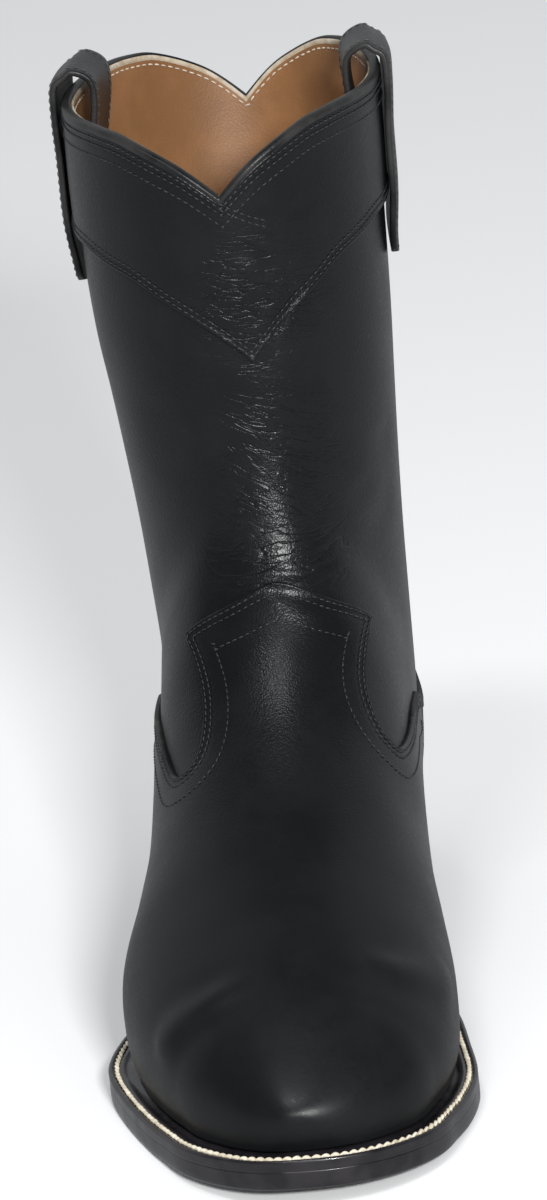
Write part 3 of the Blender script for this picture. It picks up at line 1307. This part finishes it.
@dataclass
class Bottom:
    """Welt with its cord stitch, outsole, insole, heel stack and top piece."""

    last: Last
    finishes: Finishes
    stand_toe: float = 0.0076
    stand_waist: float = 0.0040
    stand_heel: float = 0.0026
    swing: float = 0.0026
    breast: float = 0.245
    cap: float = 0.0060
    points: int = 720
    # cord stitch: share of the stand in from the edge, distance from the breast, depth in the welt
    cord_share: float = 0.34
    cord_end: float = 0.004
    cord_sink: float = 0.0002
    cord: StitchRow = field(default_factory=lambda: StitchRow(
        pitch=0.0027, length=0.0032, width=0.0014, height=0.0011, slant=0.15, twist=6.0, arch=0.38,
        sides=12, steps=10))
    # share of the welt's stand, then millimetres in from the edge, then millimetres up
    welt_profile: tuple = (
        (0.0, 14.0, 9.30), (1.08, 0.0, 9.30), (0.97, 0.0, 9.05), (0.84, 0.0, 8.72), (0.72, 0.0, 8.80),
        (0.62, 0.0, 9.16), (0.53, 0.0, 9.20), (0.45, 0.0, 8.95), (0.34, 0.0, 8.78), (0.23, 0.0, 8.98),
        (0.16, 0.0, 9.28), (0.09, 0.0, 9.34), (0.03, 0.0, 9.16), (0.0, 0.0, 8.70), (0.0, 0.02, 7.90),
        (0.0, 0.03, 6.90), (0.0, 0.02, 6.30), (0.0, 0.02, 5.88), (0.0, 0.35, 5.84), (0.0, 14.0, 5.84))
    outsole_profile: tuple = (
        (0.0, 14.0, 5.88), (0.0, 0.35, 5.88), (0.0, 0.02, 5.86), (0.0, 0.01, 5.40), (0.0, 0.0, 4.60),
        (0.0, -0.05, 3.0), (0.0, 0.0, 1.30), (0.0, 0.22, 0.62), (0.0, 0.70, 0.18), (0.0, 1.5, 0.0),
        (0.0, 14.0, 0.0))
    # millimetres in, up, and lean of the breast
    heel_profile: tuple = (
        (8.0, 6.30, -3.0), (2.2, 6.30, -3.0), (1.86, 6.45, -2.95), (1.70, 8.2, -2.8), (1.62, 10.8, -2.4),
        (1.78, 10.95, -2.5), (1.55, 11.15, -2.35), (1.42, 13.5, -1.9), (1.30, 15.5, -1.6),
        (1.46, 15.65, -1.7), (1.24, 15.85, -1.55), (1.05, 18.0, -1.1), (0.90, 20.1, -0.8),
        (1.06, 20.25, -0.9), (0.86, 20.45, -0.75),
        (0.60, 23.0, -0.3), (0.55, 24.5, 0.0), (0.9, 24.72, -0.3), (8.0, 24.72, 0.0))
    cap_profile: tuple = ((8.0, 0.0, -3.6), (3.3, 0.0, -4.4), (2.5, 0.35, -3.7), (2.1, 1.0, -3.4),
                          (1.95, 3.0, -3.2), (1.88, 5.4, -3.0), (2.1, 5.9, -3.2), (8.0, 5.95, -3.0))

    def stand(self, along: Array) -> Array:
        """How far the sole stands out from the upper at each place."""
        share = np.asarray(along) / self.last.length
        fore = smooth_step((share - 0.42) / 0.22)
        back = smooth_step((0.30 - share) / 0.14)
        return (self.stand_waist + (self.stand_toe - self.stand_waist) * fore
                + (self.stand_heel - self.stand_waist) * back)

    @staticmethod
    def outward(line: Array) -> Array:
        """Outward unit normals of a closed flat outline."""
        ahead = unit(np.roll(line, -3, 0) - np.roll(line, 3, 0))
        normal = np.stack([ahead[:, 1], -ahead[:, 0]], -1)
        return normal if (normal * (line - line.mean(0))).sum() > 0 else -normal

    def outline(self, offset: float, standing: bool) -> Array:
        """Closed outline from the feather edge, smoothed, evenly spaced and stood out."""
        last = self.last
        rows, turns = last.feather_loop(offset)
        line = last.plain_skin(rows, turns, offset)[:, :2]
        line = line[np.linalg.norm(np.roll(line, -1, 0) - line, axis=1) > 1e-6]
        closed = np.vstack([line, line[:1]])
        run = run_length(closed)
        at = np.linspace(0.0, run[-1], self.points + 1)[:-1]
        even = np.stack([np.interp(at, run, closed[:, 0]), np.interp(at, run, closed[:, 1])], -1)
        for _ in range(12):
            even = (np.roll(even, 1, 0) + 2 * even + np.roll(even, -1, 0)) / 4
        if standing:
            even = even + self.outward(even) * self.stand(even[:, 1])[:, None]
            share = even[:, 1] / last.length
            waist = smooth_step((share - 0.40) / 0.20) * smooth_step((0.82 - share) / 0.16)
            even[:, 0] -= self.swing * waist
        return even

    def layer(self, name: str, line: Array, profile: tuple, finish: bpy.types.Material, slot: Slot,
              node: str) -> None:
        """A layer of the sole: its edge profile carried round the outline, closed across.

        Stations i and count - i of the outline face each other, so that the
        inner rings are closed by strips from side to side.
        """
        last = self.last
        outward, stand = self.outward(line), self.stand(line[:, 1])
        rings = []
        for share, inset, up in profile:
            flat = line - outward * (share * stand + inset * MM)[:, None]
            height = last.sole_under(flat[:, 1]) + up * MM
            rings.append(np.column_stack([flat, height]))
        points = last.world(np.stack(rings))
        count = len(line)
        faces = grid_faces(len(profile), count, wrap=True)
        half = count // 2
        i = np.arange(half)
        strip = np.stack([i, i + 1, (count - i - 1) % count, (count - i) % count], -1)
        top = [list(dict.fromkeys(face)) for face in strip.tolist()]
        base = (len(profile) - 1) * count
        under = [[base + v for v in face] for face in top]
        item = add_piece(name, points.reshape(-1, 3), [faces, [face[::-1] for face in top], under],
                         finish, [node])
        self.right_way(item)

    def stack(self, name: str, line: Array, profile: tuple, finish: bpy.types.Material, slot: Slot,
              node: str) -> None:
        """The heel or its top piece: D-shaped rings with a straight breast, closed at both ends."""
        last = self.last
        rings = []
        for inset, up, lean in profile:
            flat = line - self.outward(line) * (inset * MM)
            front = self.breast * last.length + (lean - max(0.0, inset - 4.0) * 0.9) * MM
            rear = np.flatnonzero(flat[:, 1] < front)
            arc = flat[rear[0]: rear[-1] + 1].copy()
            arc[0, 1] = arc[-1, 1] = front
            run = run_length(arc)
            at = np.linspace(0.0, run[-1], 160)
            arc = np.stack([np.interp(at, run, arc[:, 0]), np.interp(at, run, arc[:, 1])], -1)
            share = np.linspace(0.0, 1.0, 34)[1:-1]
            face = arc[-1] + (arc[0] - arc[-1]) * share[:, None]
            face[:, 1] -= 0.0016 * np.sin(math.pi * share)
            ring = np.concatenate([arc, face])
            rings.append(np.column_stack([ring, np.full(len(ring), up * MM)]))
        points = last.world(np.stack(rings))
        count = points.shape[1]
        caps = [list(range(count)), list(range((len(profile) - 1) * count, len(profile) * count))[::-1]]
        item = add_piece(name, points.reshape(-1, 3), [grid_faces(len(profile), count, wrap=True), caps],
                         finish, [node])
        self.right_way(item)

    @staticmethod
    def right_way(item: bpy.types.Object) -> None:
        """Turn a closed piece's faces outwards."""
        bpy.context.view_layer.objects.active = item
        item.select_set(True)
        bpy.ops.object.mode_set(mode="EDIT")
        bpy.ops.mesh.select_all(action="SELECT")
        bpy.ops.mesh.normals_make_consistent(inside=False)
        bpy.ops.object.mode_set(mode="OBJECT")
        item.select_set(False)

    def cord_row(self, line: Array) -> None:
        """The cream cord stitch on the welt, from breast to breast round the toe."""
        last = self.last
        stand = self.stand(line[:, 1])
        path = line - self.outward(line) * (self.cord_share * stand)[:, None]
        run = run_length(path)
        at = np.arange(0.0, run[-1], self.cord.pitch)
        flat = np.stack([np.interp(at, run, path[:, 0]), np.interp(at, run, path[:, 1])], -1)
        flat = flat[flat[:, 1] > self.breast * last.length + self.cord_end]
        start = int(np.argmax(np.linalg.norm(np.roll(flat, -1, 0) - flat, axis=1))) + 1
        flat = np.roll(flat, -start, 0)
        height = last.sole_under(flat[:, 1]) + last.outsole + last.gap + last.welt - self.cord_sink
        spots = last.world(np.column_stack([flat, height]))
        up = np.tile([0.0, 0.0, 1.0], (len(spots), 1))
        verts, faces = self.cord.beads(spots, np.gradient(spots, axis=0), up)
        add_piece("welt_cord_stitch", verts, faces, self.finishes.cord)

    def build(self) -> None:
        """Build every layer from the welt down."""
        last, finishes = self.last, self.finishes
        line = self.outline(last.seat_gap + last.overlay, standing=True)
        self.layer("welt_strip", line, self.welt_profile, finishes.edge, Slot.EDGE, "welt")
        self.layer("leather_outsole", line, self.outsole_profile, finishes.edge, Slot.EDGE, "outsole")
        inner = self.outline(-last.wall - 0.0006, standing=False)
        top = (last.stack + 0.0030) / MM
        low = last.stack / MM
        insole = ((0.0, 14.0, top), (0.0, 1.4, top), (0.0, 0.6, top - 0.15), (0.0, 0.3, top - 0.6),
                  (0.0, 0.3, low), (0.0, 14.0, low))
        self.layer("tan_insole", inner, insole, finishes.lining, Slot.LINING, "insole")
        self.stack("heel_stack", line, self.heel_profile, finishes.edge, Slot.EDGE, "heel")
        self.stack("heel_top_piece", line, self.cap_profile, finishes.rubber, Slot.RUBBER, "heel_cap")
        self.cord_row(line)


@dataclass(frozen=True)
class Lamp:
    """A rectangular lamp: its place, the point that it faces, its two sides and its watts."""

    name: str
    place: tuple[float, float, float]
    aim: tuple[float, float, float]
    size: tuple[float, float]
    power: float

    def build(self) -> None:
        """Place the lamp and turn it to its point."""
        data = bpy.data.lights.new(self.name, "AREA")
        data.shape = "RECTANGLE"
        data.size, data.size_y = self.size
        data.energy = self.power
        item = bpy.data.objects.new(self.name, data)
        item.location = self.place
        item.rotation_euler = (Vector(self.aim) - Vector(self.place)).to_track_quat("-Z", "Y").to_euler()
        bpy.context.scene.collection.objects.link(item)


@dataclass
class Studio:
    """Pale floor, soft light, and the camera at the photograph's angle."""

    camera_place: tuple[float, float, float] = (0.15688, -1.71045, 0.6745)
    target: tuple[float, float, float] = (0.001537, 0.0327, 0.1228)
    roll: float = 6.437
    lens: float = 178.29
    sensor: float = 36.0
    floor_size: float = 16.0
    room_light: float = 0.62
    front_gloss: float = 0.03
    wall_gloss: float = 0.48
    floor_gloss: float = 0.42
    lamps: tuple[Lamp, ...] = (
        Lamp("flash", (0.44, -1.76, 0.86), (0.0, 0.0, 0.15), (0.30, 0.16), 42.0),
        Lamp("ceiling_lamp", (-0.25, -0.85, 2.0), (0.0, 0.0, 0.12), (0.45, 0.30), 9.0),
    )

    def camera(self) -> None:
        """Camera with its roll: the picture's right and up are turned about the view."""
        place, target = Vector(self.camera_place), Vector(self.target)
        ahead = (target - place).normalized()
        right = ahead.cross(Vector((0.0, 0.0, 1.0))).normalized()
        up = right.cross(ahead)
        cos, sin = math.cos(math.radians(self.roll)), math.sin(math.radians(self.roll))
        across, high = right * cos - up * sin, right * sin + up * cos
        matrix = Matrix((across, high, -ahead)).transposed().to_4x4()
        matrix.translation = place
        data = bpy.data.cameras.new("photo_camera")
        data.sensor_fit = "VERTICAL"
        data.sensor_height = self.sensor
        data.lens = self.lens
        data.clip_end = 60.0
        item = bpy.data.objects.new("photo_camera", data)
        item.matrix_world = matrix
        bpy.context.scene.collection.objects.link(item)
        bpy.context.scene.camera = item

    def wire_room(self, nodes: Nodes, sky: bpy.types.Node) -> None:
        """Even light for the room, and for gloss a pale wall behind, a pale floor and a dark front."""
        glossy = nodes.add("ShaderNodeLightPath").outputs["Is Glossy Ray"]
        toward = nodes.add("ShaderNodeSeparateXYZ",
                           Vector=nodes.add("ShaderNodeTexCoord").outputs["Generated"]).outputs
        wall = nodes.maths("MULTIPLY", nodes.ramp(toward["Y"], 0.12, 0.55),
                           nodes.ramp(toward["Z"], 0.97, 0.70))
        above = nodes.maths("ADD", self.front_gloss, nodes.maths("MULTIPLY", wall, self.wall_gloss))
        below = nodes.ramp(toward["Z"], 0.04, -0.06)
        seen = nodes.add("ShaderNodeMix", {"data_type": "FLOAT"}, Factor=below, A=above, B=self.floor_gloss)
        light = nodes.add("ShaderNodeMix", {"data_type": "FLOAT"}, Factor=glossy, A=self.room_light,
                          B=seen.outputs[0])
        nodes.tree.links.new(light.outputs[0], sky.inputs["Strength"])

    def build(self) -> None:
        """Place floor, world, lights and camera."""
        half = self.floor_size / 2
        mesh = bpy.data.meshes.new("floor")
        mesh.from_pydata([(-half, -half, 0.0), (half, -half, 0.0), (half, half, 0.0), (-half, half, 0.0)],
                         [], [(0, 1, 2, 3)])
        material = bpy.data.materials.new("pale_floor")
        material.use_nodes = True
        shader = material.node_tree.nodes["Principled BSDF"]
        shader.inputs["Base Color"].default_value = (0.93, 0.93, 0.93, 1.0)
        shader.inputs["Roughness"].default_value = 0.95
        shader.inputs["Specular IOR Level"].default_value = 0.1
        mesh.materials.append(material)
        floor = bpy.data.objects.new("floor", mesh)
        bpy.context.scene.collection.objects.link(floor)
        floor.visible_glossy = False
        world = bpy.data.worlds.new("studio")
        bpy.context.scene.world = world
        world.use_nodes = True
        sky = world.node_tree.nodes["Background"]
        sky.inputs["Color"].default_value = (0.95, 0.975, 1.0, 1.0)
        self.wire_room(Nodes(world.node_tree), sky)
        for lamp in self.lamps:
            lamp.build()
        bpy.context.scene.view_settings.view_transform = "Standard"
        self.camera()


def photo_folds() -> list[Fold]:
    """The boot's folds, as the photograph shows them, in its own millimetres."""
    front, top = Face.FRONT, Face.TOP
    return [
        Fold(front, ((-8, 133.5), (2, 136.5), (14, 135.5), (27, 137.0)), 1.5, -0.42),
        Fold(front, ((6, 140.0), (16, 138.8), (24, 140.5)), 1.3, -0.30),
        Fold(front, ((0, 132.5), (10, 129.8), (22, 126.0)), 1.5, -0.34),
        Fold(front, ((3, 129.6), (13, 126.4), (24, 122.6)), 1.4, -0.26),
        Fold(front, ((30, 158), (35, 146), (38, 130)), 5.0, -0.65),
        Fold(front, ((38, 172), (43, 156), (44, 138)), 5.5, -0.75),
        Fold(front, ((-30, 196), (-26, 176), (-25, 158)), 8.0, -0.5),
        Fold(front, ((10, 207), (15, 216), (23, 226)), 2.0, -0.75),
        Fold(front, ((7, 250), (16, 247), (27, 249)), 2.2, -0.50),
        Fold(front, ((2, 240), (9, 235), (12, 226)), 2.4, -0.42),
        Fold(top, ((-40, 250), (-30, 256), (-18, 259), (-2, 256)), 4.5, 1.15, 0.15),
        Fold(top, ((26, 251), (38, 247), (47, 236), (51, 219)), 4.5, 1.15, 0.15),
    ]


def main() -> None:
    """Build the boot from the inside out, then its studio."""
    logging.basicConfig(level=logging.INFO, format="%(name)s: %(message)s")
    last = Last(folds=photo_folds())
    finishes = Finishes()
    Shaft(last, finishes).build()
    Overlays(last, finishes).build()
    for name, sign in (("pull_strap_medial", 1.0), ("pull_strap_lateral", -1.0)):
        PullStrap(last, finishes, name, sign).build()
    Bottom(last, finishes).build()
    Studio().build()


if __name__ == "__main__":
    main()
